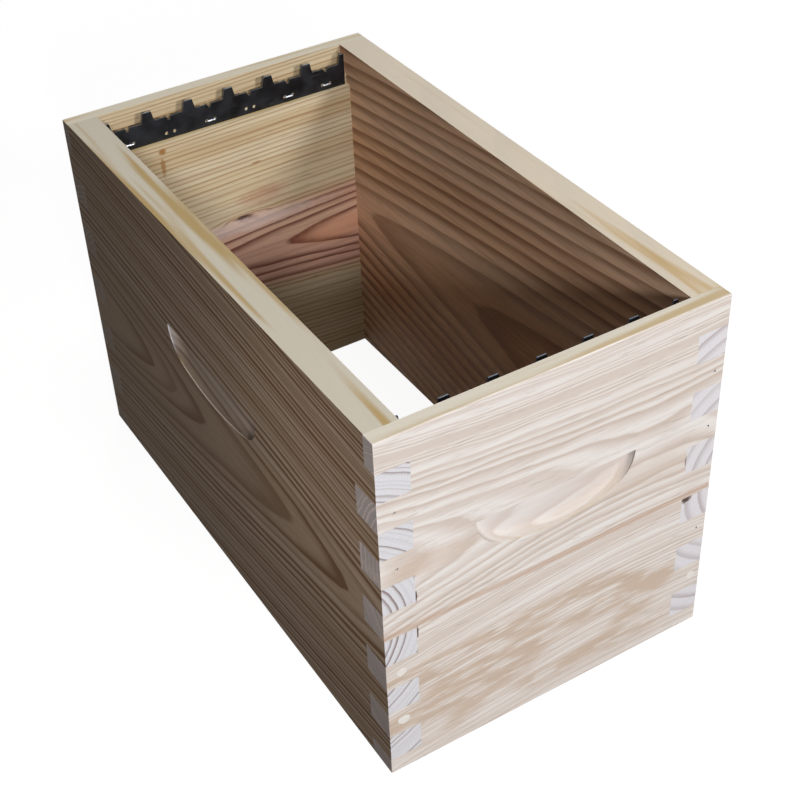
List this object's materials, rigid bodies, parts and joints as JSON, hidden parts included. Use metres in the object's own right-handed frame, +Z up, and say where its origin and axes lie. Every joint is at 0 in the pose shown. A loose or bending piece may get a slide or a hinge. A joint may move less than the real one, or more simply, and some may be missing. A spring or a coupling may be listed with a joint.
{
  "type": "nuc box",
  "caption": "Open-topped, open-bottomed wooden nucleus hive body with finger-jointed corners, scooped handholds and a toothed metal frame rest inside each end.",
  "frame": {"origin": "on the ground, in the middle of the open bottom", "axes": "+Z up, +Y along the frames from the near end (the one that the picture shows from outside) to the far end, +X across the frames to the right side board"},
  "size_m": [0.284, 0.502, 0.315],
  "materials": {
    "pine": "planed, unpainted softwood",
    "dark_sheet": "dark, satin sheet metal with bright cut edges",
    "bright_wire": "bright drawn wire"
  },
  "bodies": {
    "root": {"near_end_board": "pine", "far_end_board": "pine", "left_side_board": "pine", "right_side_board": "pine", "near_frame_rest": "dark_sheet", "far_frame_rest": "dark_sheet", "near_rest_staples": "bright_wire", "far_rest_staples": "bright_wire", "near_left_brads": "bright_wire", "near_right_brads": "bright_wire", "far_left_brads": "bright_wire", "far_right_brads": "bright_wire"}
  },
  "joints": []
}
